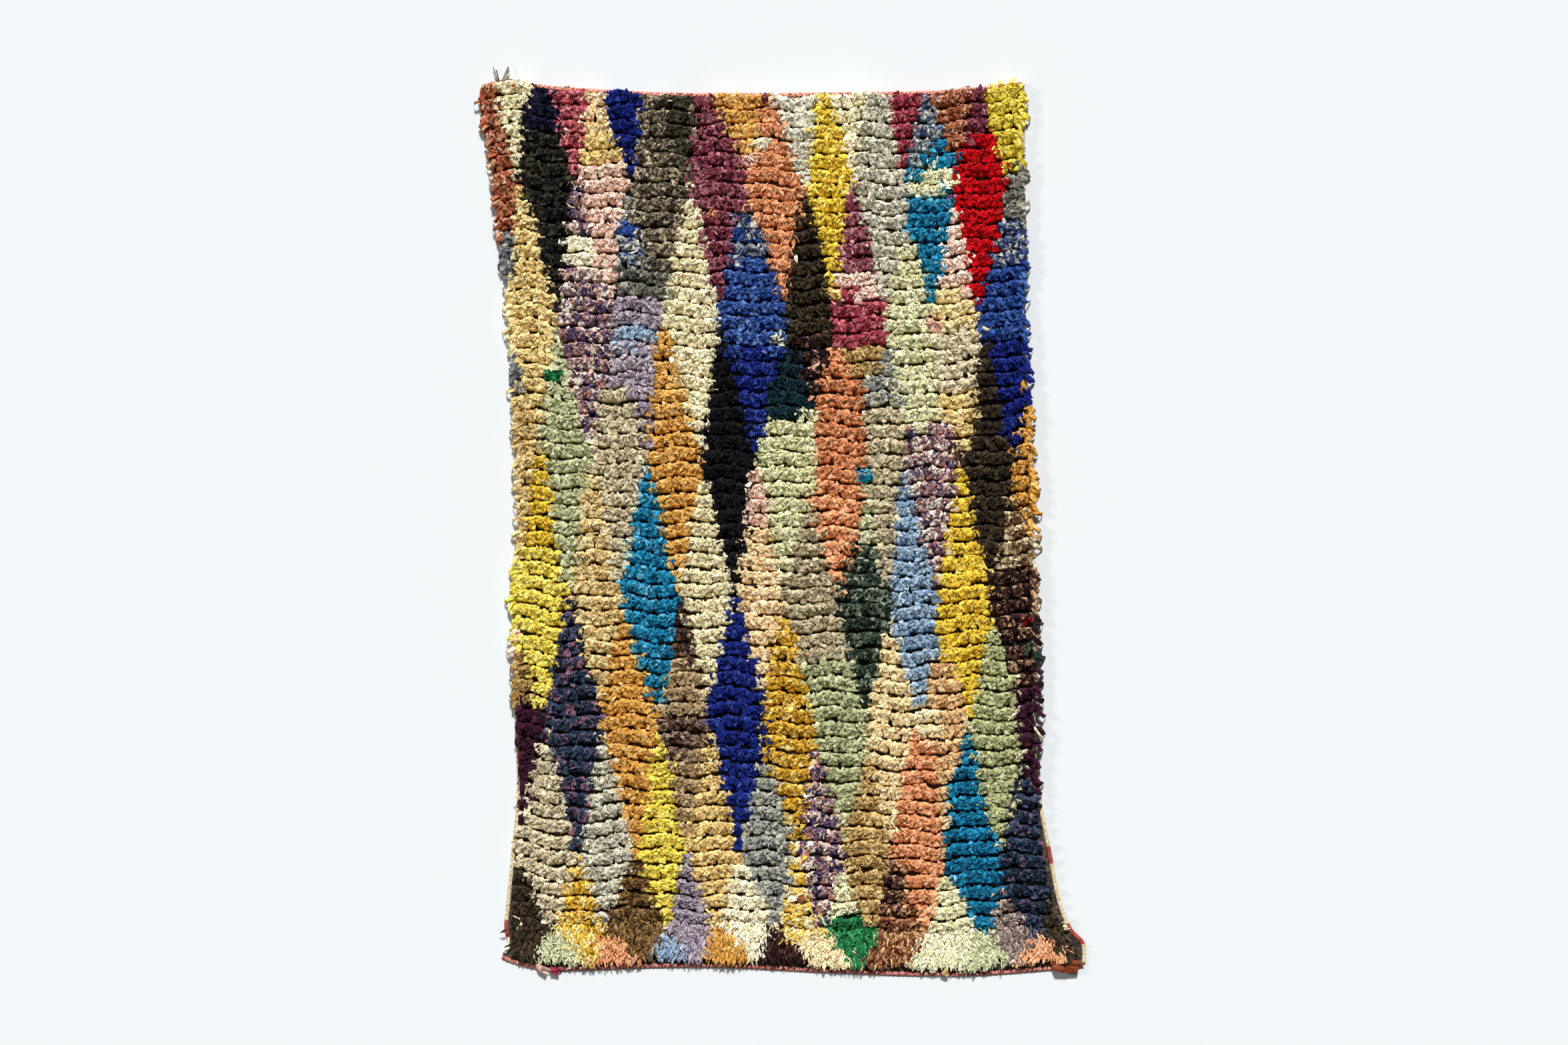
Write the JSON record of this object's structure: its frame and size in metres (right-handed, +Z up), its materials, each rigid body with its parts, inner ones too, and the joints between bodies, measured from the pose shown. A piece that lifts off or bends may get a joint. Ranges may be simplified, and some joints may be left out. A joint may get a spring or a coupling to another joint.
{
  "type": "shag rug",
  "caption": "Long rectangular rag shag rug with deep tufted pile in rows, a lozenge pattern of many cotton cloths, overcast side selvedges and narrow end bands, lying flat",
  "frame": {"origin": "On the floor, under the middle of the rug's bounding box.", "axes": "+X across the rug to its right edge, +Y along it to its top end, from which the pile falls, +Z up from the floor through the pile."},
  "size_m": [1.511, 2.1998, 0.034],
  "materials": {
    "rag_pile": "crumpled cotton and jersey rag strips of many colours, matt",
    "selvedge_left_yarn": "cream wool yarn overcast round the side warps, matt",
    "selvedge_right_yarn": "cream wool yarn overcast round the side warps, matt",
    "end_band_top_yarn": "salmon pink twined weft with dark flecks, matt",
    "end_band_bottom_yarn": "pink and brown red woven weft, matt"
  },
  "bodies": {
    "root": {"pile_field": "rag_pile", "selvedge_left": "selvedge_left_yarn", "selvedge_right": "selvedge_right_yarn", "end_band_top": "end_band_top_yarn", "end_band_bottom": "end_band_bottom_yarn"}
  },
  "joints": []
}
